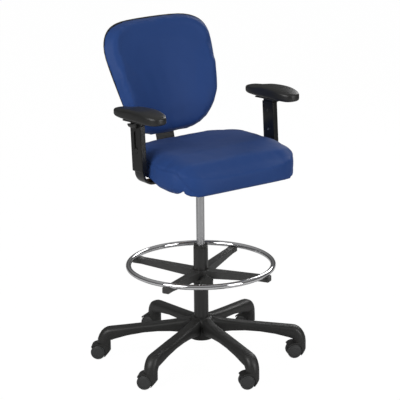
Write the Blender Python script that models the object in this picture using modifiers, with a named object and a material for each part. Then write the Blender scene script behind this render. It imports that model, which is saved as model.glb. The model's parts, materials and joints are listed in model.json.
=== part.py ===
"""Drafting chair. Metres, +Z up, the front of the seat faces -Y, +X is the sitter's left.

The origin is on the floor, on the axis of the column.
"""

import math

import bmesh
import bpy
from mathutils import Matrix, Vector

# Fits
GAP = 0.0003            # between faces that touch
RUN = 0.0005            # radial play of what turns or slides

# Casters
CASTER_CIRCLE = 0.3366  # radius of the circle through the caster stems
WHEEL_RADIUS = 0.025
WHEEL_WIDTH = 0.0142
CASTER_TRAIL = 0.020    # wheel axle behind the stem
WEB_HALF = 0.0085       # half thickness of the web between the two wheels
HOOD_WALL = 0.006       # hood above the wheels
WHEEL_PLAY = 0.0012     # hood pocket beyond the wheel's rim
AXLE_RADIUS = 0.004
STEM_RADIUS = 0.0055
STEM_FOOT = 0.036       # height of the stem's lower end
STEM_GRIP = 0.031       # length of stem inside the leg
CASTER_TURNS = (156.0, 120.0, 119.0, 139.0, 134.0, 155.0)  # way each caster trails, degrees

# Base
LEG_COUNT = 6
BASE_TURN = -35.7       # direction of the first leg, degrees
LEG_HALF_WIDTH = 0.0215
LEG_END_RADIUS = 0.023
LEG_WALL = 0.005
LEG_END_RISE = 0.0585   # top of the leg above its lower end, where the elbow starts
LEG_ROOT_RISE = 0.0925  # top of the leg at the hub
LEG_ARCH_RISE = 0.042   # highest point of the leg's lower edge
LEG_ARCH_REACH = 0.135  # where that point is
HUB_SKIN = 0.0003       # hub beyond the corners of the leg roots
HUB_RISE = 0.093        # top of the hub above the leg ends
HUB_DROP = 0.017        # bottom of the hub above the leg ends

# Column and gas lift
COLUMN_RADIUS = 0.025
COLUMN_WALL = 0.002
COLUMN_LENGTH = 0.331
COLUMN_FLOOR = 0.003
BUSH_LENGTH = 0.060
BUSH_LIP = 0.006
TUBE_RADIUS = 0.014
TUBE_WALL = 0.0022
TUBE_LENGTH = 0.350
ROD_RADIUS = 0.005
SPIGOT_RADIUS = 0.004
BEARING_HEIGHT = 0.005
PISTON_RISE = 0.268     # piston above the column floor
VALVE_RADIUS = 0.0035
LIFT_HEIGHT = 0.218     # housing above the column's lip

# Foot ring
RING_RADIUS = 0.2465
RING_TUBE = 0.0095
RING_DROP = 0.064       # ring's middle below the top of the column
RING_TURN = 27.5        # direction of the first spoke, degrees
SPOKE_COUNT = 4
SPOKE_ROOT = 0.036      # width at the hub
SPOKE_TIP = 0.020       # width at the ring
SPOKE_DEPTH = 0.029
SPOKE_END_DEPTH = 0.018
SPOKE_WALL = 0.003
SPIDER_DROP = 0.016     # top of the spider's hub below the ring's middle
SPIDER_HEIGHT = 0.042
SPIDER_WALL = 0.0045
LINER_WALL = 0.002
KNOB_RADIUS = 0.0225
KNOB_LOBE = 0.0018
KNOB_DEPTH = 0.018
STUD_RADIUS = 0.004

# Control under the seat
HOUSING_HALF = 0.062    # half width
HOUSING_FRONT = 0.100
HOUSING_REAR = 0.085
HOUSING_HEIGHT = 0.038
HOUSING_WALL = 0.003
AXLE_FORWARD = 0.055    # tilt axle in front of the column
AXLE_RISE = 0.030
TILT_AXLE_RADIUS = 0.006
PLATE_GAP = 0.0165      # between housing and seat plate
PLATE_THICK = 0.0037
PLATE_HALF = 0.085
EAR_THICK = 0.004
BAR_WIDTH = 0.070
BAR_THICK = 0.008
BAR_PIVOT_BACK = 0.072  # recline pivot behind the column
BAR_PIVOT_RISE = 0.026
BAR_BACK = 0.1835       # where the bar turns upwards
BAR_LEAN = 15.0         # degrees
BAR_RISE = 0.285        # length of the upright run
PIVOT_RADIUS = 0.005

# Seat
BOARD_THICK = 0.012
SEAT_HALF = 0.256
SEAT_FRONT = 0.269
SEAT_REAR = 0.173
BOARD_SIDE_INSET = 0.033    # the board's edge inside the cushion's
BOARD_FRONT_INSET = 0.052
BOARD_REAR_INSET = 0.023
SEAT_SQUARE = 4.2       # squareness of the plan in front, 2 is an ellipse
SEAT_REAR_SQUARE = 2.8
SEAT_TAPER = 0.10       # how much narrower the back of the seat is
SEAT_THICK = 0.073
SEAT_ROLL = 0.036       # front roll below the board

# Back
BACK_HALF = 0.2120
BACK_HEIGHT = 0.400
BACK_LOW = 0.754        # lowest point of the back
BACK_CURVE = 0.74       # how fast the sides come forward at the top
BACK_WRAP = 0.85        # how much faster they do so low down
SHELL_THICK = 0.004
PAD_THICK = 0.046
CARRIER_WALL = 0.005
CARRIER_LENGTH = 0.070

# Arms
ARM_GAP = 0.005         # between the seat's side and the arm
ARM_FORWARD = 0.044
ARM_RAKE = 3.5          # degrees, the top leans back
STRAP_WIDTH = 0.050
STRAP_THICK = 0.008
STRAP_BEND = 0.035
STRAP_INNER = 0.094     # inner end, from the middle of the seat
STRAP_RISE = 0.060      # upright run inside the sleeve
SLEEVE_DEPTH = 0.060
SLEEVE_THICK = 0.020
SLEEVE_WALL = 0.0032
SLEEVE_LOW = 0.045      # bottom of the sleeve above the strap
SLEEVE_LENGTH = 0.156
RELEASE_TRAVEL = 0.004
POST_RISE = 0.011       # bare post between sleeve and pad plate
SLOT_WIDTH = 0.018
SLOT_LENGTH = 0.074
SLOT_TOP = 0.020        # slot below the top of the sleeve
PAD_LENGTH = 0.262
PAD_HALF = 0.046
PAD_HEIGHT = 0.035
PAD_PLATE_THICK = 0.005

# Heights and radii that follow from the values above
LEG_ROOT = LEG_HALF_WIDTH / math.tan(math.pi / LEG_COUNT) + GAP
HUB_RADIUS = math.hypot(LEG_ROOT, LEG_HALF_WIDTH) + HUB_SKIN
WHEEL_MID = WEB_HALF + RUN + WHEEL_WIDTH / 2
HOOD_HALF = WEB_HALF + RUN + WHEEL_WIDTH - 0.0007
CASTER_TOP = 2 * WHEEL_RADIUS + HOOD_WALL
LEG_END = CASTER_TOP + GAP
HUB_TOP = LEG_END + HUB_RISE
HUB_LOW = LEG_END + HUB_DROP
COLUMN_LOW = HUB_LOW - 0.004
COLUMN_TOP = COLUMN_LOW + COLUMN_LENGTH
FLOOR_TOP = COLUMN_LOW + COLUMN_FLOOR
SHOULDER = FLOOR_TOP + 2 * GAP + BEARING_HEIGHT
LIP_TOP = COLUMN_TOP + GAP + BUSH_LIP
HOUSING_LOW = LIP_TOP + LIFT_HEIGHT
HOUSING_TOP = HOUSING_LOW + HOUSING_HEIGHT
TUBE_TOP = HOUSING_TOP - 0.003
TUBE_LOW = TUBE_TOP - TUBE_LENGTH
AXLE_Z = HOUSING_LOW + AXLE_RISE
PIVOT_Z = HOUSING_LOW + BAR_PIVOT_RISE
PLATE_LOW = HOUSING_TOP + PLATE_GAP
PLATE_TOP = PLATE_LOW + PLATE_THICK
BOARD_LOW = PLATE_TOP + GAP
BOARD_HALF = SEAT_HALF - BOARD_SIDE_INSET
BOARD_FRONT = SEAT_FRONT - BOARD_FRONT_INSET
BOARD_REAR = SEAT_REAR - BOARD_REAR_INSET
ARM_ACROSS = SEAT_HALF + ARM_GAP + SLEEVE_THICK / 2
BOARD_TOP = BOARD_LOW + BOARD_THICK
RING_Z = COLUMN_TOP - RING_DROP
SPIDER_TOP = RING_Z - SPIDER_DROP
SPIDER_LOW = SPIDER_TOP - SPIDER_HEIGHT
LINER_OUT = COLUMN_RADIUS + RUN + LINER_WALL
SPIDER_BORE = LINER_OUT + RUN
SPIDER_OUT = SPIDER_BORE + SPIDER_WALL
KNOB_Z = SPIDER_TOP - SPIDER_HEIGHT * 0.7
STRAP_TOP = BOARD_LOW - GAP
STRAP_LOW = STRAP_TOP - STRAP_THICK
KNOB_SHAFT_Z = HOUSING_LOW + 0.020
LEVER_PIVOT = -0.045
LEVER_Z = TUBE_TOP + 0.0085

BLACK = (0.017, 0.017, 0.016)


def clear_scene():
    for thing in list(bpy.data.objects):
        bpy.data.objects.remove(thing, do_unlink=True)


def new_collection(name):
    found = bpy.data.collections.new(name)
    bpy.context.scene.collection.children.link(found)
    return found


clear_scene()
CHAIR = new_collection("drafting_chair")
CUTTERS = new_collection("cutters")


# Working helpers

def mesh_object(name, bm, collection=CHAIR):
    mesh = bpy.data.meshes.new(name)
    bmesh.ops.recalc_face_normals(bm, faces=bm.faces)
    bm.to_mesh(mesh)
    bm.free()
    made = bpy.data.objects.new(name, mesh)
    collection.objects.link(made)
    return made


def evaluated_mesh(made):
    bpy.context.view_layer.update()
    graph = bpy.context.evaluated_depsgraph_get()
    return bpy.data.meshes.new_from_object(made.evaluated_get(graph))


def settle(made):
    """Replace an object's mesh by what its modifiers make of it."""
    mesh = evaluated_mesh(made)
    made.modifiers.clear()
    made.data = mesh
    return made


def combine(made, other, operation):
    """One Boolean; the other object is used up."""
    modifier = made.modifiers.new(operation.lower(), "BOOLEAN")
    modifier.operation = operation
    modifier.solver = "EXACT"
    modifier.object = other
    settle(made)
    bpy.data.objects.remove(other, do_unlink=True)
    return made


def cut(made, *others):
    for other in others:
        combine(made, other, "DIFFERENCE")
    return made


def join(made, *others):
    for other in others:
        combine(made, other, "UNION")
    return made


def common(made, other):
    return combine(made, other, "INTERSECT")


def box(name, low, high, bevel=0.0, segments=2):
    bm = bmesh.new()
    bmesh.ops.create_cube(bm, size=1.0)
    low, high = Vector(low), Vector(high)
    bmesh.ops.scale(bm, vec=high - low, verts=bm.verts)
    bmesh.ops.translate(bm, vec=(low + high) / 2, verts=bm.verts)
    if bevel:
        bmesh.ops.bevel(bm, geom=bm.edges[:], offset=bevel, segments=segments,
                        profile=0.5, affect="EDGES")
    return mesh_object(name, bm)


def rod(name, start, end, radius, steps=16):
    """A plain cylinder between two points."""
    start, end = Vector(start), Vector(end)
    bm = bmesh.new()
    bmesh.ops.create_cone(bm, cap_ends=True, segments=steps, radius1=radius,
                          radius2=radius, depth=(end - start).length)
    turn = (end - start).to_track_quat("Z", "X").to_matrix().to_4x4()
    bmesh.ops.transform(bm, matrix=Matrix.Translation((start + end) / 2) @ turn, verts=bm.verts)
    return mesh_object(name, bm)


def turned(name, profile, steps=24, closed=False):
    """A profile of (radius, height) points turned about Z with a Screw modifier."""
    mesh = bpy.data.meshes.new(name)
    points = [(radius, 0.0, height) for radius, height in profile]
    edges = [(i, i + 1) for i in range(len(points) - 1)]
    if closed:
        edges.append((len(points) - 1, 0))
    mesh.from_pydata(points, edges, [])
    made = bpy.data.objects.new(name, mesh)
    CHAIR.objects.link(made)
    screw = made.modifiers.new("turn", "SCREW")
    screw.steps = steps
    screw.render_steps = steps
    screw.use_merge_vertices = True
    screw.merge_threshold = 0.00005
    screw.use_normal_calculate = False
    settle(made)
    bm = bmesh.new()
    bm.from_mesh(made.data)
    bmesh.ops.remove_doubles(bm, verts=bm.verts, dist=0.00002)
    bmesh.ops.recalc_face_normals(bm, faces=bm.faces)
    bm.to_mesh(made.data)
    bm.free()
    return made


def outline(name, points, low, high):
    """A flat outline in X and Y, from height low to height high."""
    curve = bpy.data.curves.new(name, "CURVE")
    curve.dimensions = "2D"
    curve.fill_mode = "BOTH"
    curve.extrude = (high - low) / 2
    spline = curve.splines.new("POLY")
    spline.points.add(len(points) - 1)
    for place, (x, y) in zip(spline.points, points):
        place.co = (x, y, 0.0, 1.0)
    spline.use_cyclic_u = True
    flat = bpy.data.objects.new(name, curve)
    CUTTERS.objects.link(flat)
    bm = bmesh.new()
    bm.from_mesh(evaluated_mesh(flat))
    bpy.data.objects.remove(flat, do_unlink=True)
    bmesh.ops.remove_doubles(bm, verts=bm.verts, dist=0.00002)
    bmesh.ops.translate(bm, vec=(0, 0, (low + high) / 2), verts=bm.verts)
    return mesh_object(name, bm)


def place(made, matrix):
    """Move an object's mesh, keeping its origin."""
    made.data.transform(matrix)
    if matrix.determinant() < 0:
        made.data.flip_normals()
    return made


def arc(centre, radius, start, end, count):
    """Points on an arc, both ends included, angles in degrees."""
    turns = [math.radians(start + (end - start) * i / count) for i in range(count + 1)]
    return [(centre[0] + radius * math.cos(a), centre[1] + radius * math.sin(a)) for a in turns]


def around_z(degrees):
    return Matrix.Rotation(math.radians(degrees), 4, "Z")


# X and Y of an outline become world Y and Z, its height becomes X
SIDE_ON = Matrix(((0, 0, 1, 0), (1, 0, 0, 0), (0, 1, 0, 0), (0, 0, 0, 1)))
# X and Y of an outline become world X and Z, its height becomes -Y
FRONT_ON = Matrix.Rotation(math.radians(90), 4, "X")


def material(name, colour, roughness, metallic=0.0):
    made = bpy.data.materials.new(name)
    made.use_nodes = True
    shader = made.node_tree.nodes["Principled BSDF"]
    shader.inputs["Base Color"].default_value = (*colour, 1.0)
    shader.inputs["Roughness"].default_value = roughness
    shader.inputs["Metallic"].default_value = metallic
    made.diffuse_color = (*colour, 1.0)
    return made


def finish(made, colour=BLACK, roughness=0.5, metallic=0.0, sharp=35.0):
    made.data.materials.clear()
    made.data.materials.append(material(made.name + "_material", colour, roughness, metallic))
    made.data.shade_smooth()
    made.data.set_sharp_from_angle(angle=math.radians(sharp))
    return made


def set_origin(name, point):
    """Put an object's origin on the axis it moves about, with its shape left in place."""
    made = CHAIR.objects[name]
    moved = Matrix.Translation(point)
    made.data.transform(moved.inverted() @ made.matrix_basis)
    made.matrix_basis = moved


# Casters

def caster_hood():
    """Hood with the web between the wheels; the stem turns in its bore and it trails to +X."""
    back = -LEG_END_RADIUS
    rim = CASTER_TOP - WHEEL_RADIUS
    side = [(back, CASTER_TOP)]
    side += arc((CASTER_TRAIL, WHEEL_RADIUS), rim, 90, 42, 10)
    side += [(CASTER_TRAIL + 0.014, WHEEL_RADIUS + 0.004), (CASTER_TRAIL + 0.006, 0.010), (CASTER_TRAIL - 0.024, 0.010), (back, 0.031)]
    hood = place(outline("hood", side, -HOOD_HALF, HOOD_HALF), FRONT_ON)
    far = CASTER_TRAIL + rim + 0.01
    plan = arc((0, 0), LEG_END_RADIUS, 90, 270, 16) + [(far, -LEG_END_RADIUS), (far, LEG_END_RADIUS)]
    common(hood, outline("plan", plan, -0.01, CASTER_TOP + 0.01))
    axle = (CASTER_TRAIL, 0.0, WHEEL_RADIUS)
    for way in (-1, 1):
        near = (axle[0], way * WEB_HALF, axle[2])
        out = (axle[0], way * (HOOD_HALF + 0.01), axle[2])
        cut(hood, rod("pocket", near, out, WHEEL_RADIUS + WHEEL_PLAY, 36))
    reach = WHEEL_MID + WHEEL_WIDTH / 2 - 0.004
    join(hood, rod("journal", (axle[0], -reach, axle[2]), (axle[0], reach, axle[2]), AXLE_RADIUS, 10))
    bore = rod("bore", (0, 0, STEM_FOOT - GAP), (0, 0, CASTER_TOP + 0.01), STEM_RADIUS + RUN, 12)
    return cut(hood, bore)


def caster_wheel():
    """A wheel with a blind bore, turned about its own axis; its outer face is at the top."""
    half = WHEEL_WIDTH / 2
    profile = [(0, half), (WHEEL_RADIUS - 0.0025, half), (WHEEL_RADIUS, half - 0.002),
               (WHEEL_RADIUS, -half), (AXLE_RADIUS + RUN, -half),
               (AXLE_RADIUS + RUN, half - 0.0035), (0, half - 0.0035)]
    return turned("wheel", profile, 20)


def caster_stem():
    top = LEG_END + STEM_GRIP
    profile = [(0, top), (STEM_RADIUS - 0.001, top), (STEM_RADIUS, top - 0.001),
               (STEM_RADIUS, STEM_FOOT), (0, STEM_FOOT)]
    return turned("stem", profile, 10)


def copy_mesh(source, name, matrix, parent=None):
    made = bpy.data.objects.new(name, source.data.copy())
    CHAIR.objects.link(made)
    made.parent = parent
    made.matrix_world = matrix
    return made


def casters():
    hood, wheel, stem = caster_hood(), caster_wheel(), caster_stem()
    on_side = {"a": Matrix.Rotation(math.radians(-90), 4, "X"),
               "b": Matrix.Rotation(math.radians(90), 4, "X")}
    for i, trail in enumerate(CASTER_TURNS):
        leg = math.radians(BASE_TURN + i * 360 / LEG_COUNT)
        spot = Vector((CASTER_CIRCLE * math.cos(leg), CASTER_CIRCLE * math.sin(leg), 0))
        name = f"caster_{i + 1}_"
        swivel = Matrix.Translation(spot) @ around_z(trail)
        finish(copy_mesh(hood, name + "hood", swivel), roughness=0.55)
        set_origin(name + "hood", spot)
        finish(copy_mesh(stem, name + "stem", Matrix.Translation(spot)), (0.55, 0.55, 0.57), 0.3, 1.0)
        for side, way in (("a", 1), ("b", -1)):
            middle = Matrix.Translation((CASTER_TRAIL, way * WHEEL_MID, WHEEL_RADIUS))
            made = copy_mesh(wheel, name + "wheel_" + side, swivel @ middle @ on_side[side])
            finish(made, (0.03, 0.031, 0.032), 0.45)
            set_origin(made.name, (swivel @ middle).translation)
    for made in (hood, wheel, stem):
        bpy.data.objects.remove(made, do_unlink=True)


# Base

def leg_top(reach, start, end):
    share = max(0.0, (reach - start) / (end - start)) ** 0.7
    return LEG_END + LEG_ROOT_RISE + (LEG_END_RISE - LEG_ROOT_RISE) * share


def leg_bottom(reach, end):
    peak, low = LEG_END + LEG_ARCH_RISE, LEG_END + 0.012
    return peak - (peak - low) * ((reach - LEG_ARCH_REACH) / (end - LEG_ARCH_REACH)) ** 2


def leg_stations():
    """Lower point, upper point, half width and squareness of each section along one leg."""
    root = LEG_ROOT
    end_top, end_low = CASTER_CIRCLE - 0.025, CASTER_CIRCLE - 0.030
    stations = []
    for share in (0.0, 0.1, 0.25, 0.42, 0.6, 0.8, 1.0):
        high = root + (end_top - root) * share
        low = root + (end_low - root) * share
        half = LEG_HALF_WIDTH + (LEG_END_RADIUS - LEG_HALF_WIDTH) * share
        stations.append(((low, leg_bottom(low, end_low)), (high, leg_top(high, root, end_top)),
                         half, 3.4 - 0.6 * share))
    inner, outer = CASTER_CIRCLE - LEG_END_RADIUS, CASTER_CIRCLE + LEG_END_RADIUS
    for turn in (75, 60, 45, 30, 15, 0):
        share = turn / 90
        angle = math.radians(turn)
        high = (end_top + (outer - end_top) * math.cos(angle), LEG_END + LEG_END_RISE * math.sin(angle))
        stations.append(((inner, LEG_END + 0.0125 * share), high, LEG_END_RADIUS, 2.0 + 0.8 * share))
    return stations


def leg():
    """One leg along +X, lofted from a crowned channel to the round socket."""
    sides = 20
    bm = bmesh.new()
    rings = []
    for low, high, half, square in leg_stations():
        low, high = Vector((low[0], 0, low[1])), Vector((high[0], 0, high[1]))
        ring = []
        for k in range(sides):
            a = 2 * math.pi * k / sides
            across = math.copysign(abs(math.cos(a)) ** (2 / square), math.cos(a)) * half
            along = math.copysign(abs(math.sin(a)) ** (2 / square), math.sin(a)) / 2
            spot = (low + high) / 2 + (high - low) * along
            ring.append(bm.verts.new((spot.x, across, spot.z)))
        rings.append(ring)
    for near, far in zip(rings, rings[1:]):
        for k in range(sides):
            bm.faces.new((near[k], near[(k + 1) % sides], far[(k + 1) % sides], far[k]))
    bm.faces.new(rings[0])
    bm.faces.new(rings[-1][::-1])
    return mesh_object("leg", bm)


def leg_hollow():
    """What is cut out of the underside of one leg."""
    end_top = CASTER_CIRCLE - 0.025
    start, stop = HUB_RADIUS + 0.020, CASTER_CIRCLE - LEG_END_RADIUS - 0.008
    reaches = [start + (stop - start) * i / 5 for i in range(6)]
    side = [(r, leg_top(r, LEG_ROOT, end_top) - LEG_WALL - 0.0015) for r in reaches]
    side += [(stop, LEG_END - 0.02), (start, LEG_END - 0.02)]
    half = LEG_HALF_WIDTH - LEG_WALL
    return place(outline("hollow", side, -half, half), FRONT_ON)


def base_star():
    star = turned("base_star", [(0, HUB_TOP), (HUB_RADIUS - 0.008, HUB_TOP),
                                (HUB_RADIUS, HUB_TOP - 0.011), (HUB_RADIUS, HUB_LOW + 0.004),
                                (HUB_RADIUS - 0.004, HUB_LOW), (0, HUB_LOW)], 24)
    turns = [around_z(BASE_TURN + i * 360 / LEG_COUNT) for i in range(LEG_COUNT)]
    for turn in turns:
        join(star, place(leg(), turn))
    for turn in turns:
        cut(star, place(leg_hollow(), turn))
        socket = rod("socket", (CASTER_CIRCLE, 0, LEG_END - 0.01),
                     (CASTER_CIRCLE, 0, LEG_END + STEM_GRIP + GAP), STEM_RADIUS + GAP, 10)
        cut(star, place(socket, turn))
    cut(star, rod("bore", (0, 0, HUB_LOW - 0.01), (0, 0, HUB_TOP + 0.01), COLUMN_RADIUS + GAP, 32))
    finish(star, roughness=0.5, sharp=40)


# Column and gas lift

def column():
    inner = COLUMN_RADIUS - COLUMN_WALL
    hole = SPIGOT_RADIUS + RUN
    tube = [(COLUMN_RADIUS, COLUMN_TOP), (COLUMN_RADIUS, COLUMN_LOW), (hole, COLUMN_LOW),
            (hole, FLOOR_TOP), (inner, FLOOR_TOP), (inner, COLUMN_TOP)]
    finish(turned("column_tube", tube, 32, True), roughness=0.4)
    out, bore = inner - GAP, TUBE_RADIUS + RUN
    lip = COLUMN_RADIUS - 0.0008
    bush = [(bore + 0.002, LIP_TOP), (lip - 0.002, LIP_TOP), (lip, LIP_TOP - 0.002),
            (lip, COLUMN_TOP + GAP), (out, COLUMN_TOP + GAP), (out, COLUMN_TOP - BUSH_LENGTH),
            (bore, COLUMN_TOP - BUSH_LENGTH), (bore, LIP_TOP - 0.002)]
    finish(turned("column_bush", bush, 24, True), (0.012, 0.012, 0.012), 0.4)
    bearing_low = FLOOR_TOP + GAP
    bearing = [(0.0105, bearing_low + BEARING_HEIGHT), (0.0105, bearing_low),
               (hole, bearing_low), (hole, bearing_low + BEARING_HEIGHT)]
    finish(turned("thrust_bearing", bearing, 16, True), (0.6, 0.6, 0.62), 0.25, 1.0)


def gas_lift():
    bore = TUBE_RADIUS - TUBE_WALL
    gland, pin_hole = ROD_RADIUS + RUN, VALVE_RADIUS + RUN
    tube = [(TUBE_RADIUS, TUBE_TOP), (TUBE_RADIUS, TUBE_LOW), (gland, TUBE_LOW),
            (gland, TUBE_LOW + 0.008), (bore, TUBE_LOW + 0.008), (bore, TUBE_TOP - 0.020),
            (pin_hole, TUBE_TOP - 0.020), (pin_hole, TUBE_TOP)]
    finish(turned("pressure_tube", tube, 24, True), (0.75, 0.75, 0.76), 0.12, 1.0)
    piston = FLOOR_TOP + PISTON_RISE
    clip_low = COLUMN_LOW - GAP - 0.002
    groove = SPIGOT_RADIUS - 0.001
    rod_profile = [(0, piston), (bore - RUN, piston), (bore - RUN, piston - 0.008),
                   (ROD_RADIUS, piston - 0.008), (ROD_RADIUS, SHOULDER),
                   (SPIGOT_RADIUS, SHOULDER), (SPIGOT_RADIUS, clip_low + 0.002),
                   (groove, clip_low + 0.002), (groove, clip_low),
                   (SPIGOT_RADIUS, clip_low), (SPIGOT_RADIUS, clip_low - 0.002), (0, clip_low - 0.002)]
    finish(turned("piston_rod", rod_profile, 12), (0.7, 0.7, 0.72), 0.15, 1.0)
    clip = turned("retaining_clip", [(0.009, clip_low + 0.002 - GAP), (0.009, clip_low + GAP),
                                     (groove + GAP, clip_low + GAP),
                                     (groove + GAP, clip_low + 0.002 - GAP)], 16, True)
    cut(clip, box("mouth", (0, -groove + 0.0002, clip_low - 0.01), (0.02, groove - 0.0002, clip_low + 0.01)))
    finish(clip, (0.45, 0.45, 0.46), 0.35, 1.0)
    pin = turned("valve_pin", [(0, TUBE_TOP + 0.006), (VALVE_RADIUS, TUBE_TOP + 0.006),
                               (VALVE_RADIUS, TUBE_TOP - 0.014), (0, TUBE_TOP - 0.014)], 12)
    finish(pin, (0.6, 0.6, 0.62), 0.25, 1.0)


# Foot ring

def foot_ring():
    bpy.ops.mesh.primitive_torus_add(major_radius=RING_RADIUS, minor_radius=RING_TUBE,
                                     major_segments=48, minor_segments=10,
                                     location=(0, 0, RING_Z))
    ring = bpy.context.active_object
    for found in list(ring.users_collection):
        found.objects.unlink(ring)
    CHAIR.objects.link(ring)
    ring.name = "foot_ring"
    finish(ring, (0.8, 0.8, 0.81), 0.06, 1.0)


def spoke(name, grow, start, stop):
    """A tapered bar along +X; grow takes its walls in and lets it out at the bottom."""
    full = RING_RADIUS + 0.014
    end_top = RING_Z - RING_TUBE + 0.0035
    bm = bmesh.new()
    bmesh.ops.create_cube(bm, size=1.0)
    for vert in bm.verts:
        reach = stop if vert.co.x > 0 else start
        share = reach / full
        width = SPOKE_ROOT + (SPOKE_TIP - SPOKE_ROOT) * share
        top = SPIDER_TOP + (end_top - SPIDER_TOP) * share
        depth = SPOKE_DEPTH + (SPOKE_END_DEPTH - SPOKE_DEPTH) * share
        side = math.copysign(width / 2 - grow, vert.co.y)
        height = top - grow if vert.co.z > 0 else top - depth - grow
        vert.co = (reach, side, height)
    return mesh_object(name, bm)


def foot_ring_spider():
    full = RING_RADIUS + 0.014
    block_in, block_top = RING_RADIUS - 0.020, RING_Z - RING_TUBE + 0.0035
    spider = rod("foot_ring_spider", (0, 0, SPIDER_LOW), (0, 0, SPIDER_TOP), SPIDER_OUT, 24)
    for i in range(SPOKE_COUNT):
        turn = around_z(RING_TURN + i * 360 / SPOKE_COUNT)
        join(spider, place(spoke("spoke", 0.0, 0.012, full - 0.004), turn))
        block = box("block", (block_in, -0.013, block_top - 0.021), (full, 0.013, block_top + 0.0005), 0.0025, 1)
        join(spider, place(block, turn))
    boss_turn = around_z(RING_TURN - 135)
    between = math.pi / SPOKE_COUNT
    near = (SPOKE_ROOT / 2 + 0.001 + (KNOB_RADIUS + KNOB_LOBE) * math.cos(between)) / math.sin(between)
    join(spider, place(rod("boss", (0.012, 0, KNOB_Z), (near - 0.0025, 0, KNOB_Z), 0.010, 14), boss_turn))
    for i in range(SPOKE_COUNT):
        turn = around_z(RING_TURN + i * 360 / SPOKE_COUNT)
        cut(spider, place(spoke("hollow", SPOKE_WALL, SPIDER_OUT + 0.006, block_in - 0.004), turn))
    bore = rod("bore", (0, 0, SPIDER_LOW - 0.01), (0, 0, SPIDER_TOP + 0.01), SPIDER_BORE, 32)
    hole = place(rod("hole", (0.015, 0, KNOB_Z), (near, 0, KNOB_Z), STUD_RADIUS + RUN, 12), boss_turn)
    bpy.ops.mesh.primitive_torus_add(major_radius=RING_RADIUS, minor_radius=RING_TUBE + GAP,
                                     major_segments=48, minor_segments=10, location=(0, 0, RING_Z))
    seat = bpy.context.active_object
    seat.data.transform(Matrix.Translation((0, 0, RING_Z)))
    seat.location = (0, 0, 0)
    cut(spider, bore, hole, seat)
    finish(spider, (0.022, 0.022, 0.022), 0.45, sharp=30)
    liner = [(LINER_OUT, SPIDER_TOP + 0.001), (LINER_OUT, SPIDER_LOW - GAP),
             (SPIDER_OUT, SPIDER_LOW - GAP), (SPIDER_OUT, SPIDER_LOW - 0.004),
             (COLUMN_RADIUS + RUN, SPIDER_LOW - 0.004), (COLUMN_RADIUS + RUN, SPIDER_TOP + 0.001)]
    finish(turned("foot_ring_liner", liner, 32, True), (0.012, 0.012, 0.012), 0.4)
    knob_points = []
    for i in range(36):
        a = 2 * math.pi * i / 36
        radius = KNOB_RADIUS + KNOB_LOBE * math.cos(6 * a)
        knob_points.append((radius * math.cos(a), radius * math.sin(a)))
    knob = place(outline("foot_ring_knob", knob_points, near, near + KNOB_DEPTH),
                 Matrix.Rotation(math.radians(90), 4, "Y"))
    join(knob, rod("stud", (LINER_OUT + 0.0006, 0, 0), (near + 0.004, 0, 0), STUD_RADIUS, 10))
    place(knob, boss_turn @ Matrix.Translation((0, 0, KNOB_Z)))
    finish(knob, (0.012, 0.012, 0.012), 0.4)


casters()
base_star()
column()
gas_lift()
foot_ring()
foot_ring_spider()


# Control under the seat

def strip(path, thick):
    """Outline of a bent flat bar that follows a path of (x, y) points."""
    left, right = [], []
    for i, spot in enumerate(path):
        before, after = Vector(path[max(i - 1, 0)]), Vector(path[min(i + 1, len(path) - 1)])
        along = (after - before).normalized()
        side = Vector((-along.y, along.x)) * thick / 2
        left.append(tuple(Vector(spot) + side))
        right.append(tuple(Vector(spot) - side))
    return left + right[::-1]


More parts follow.
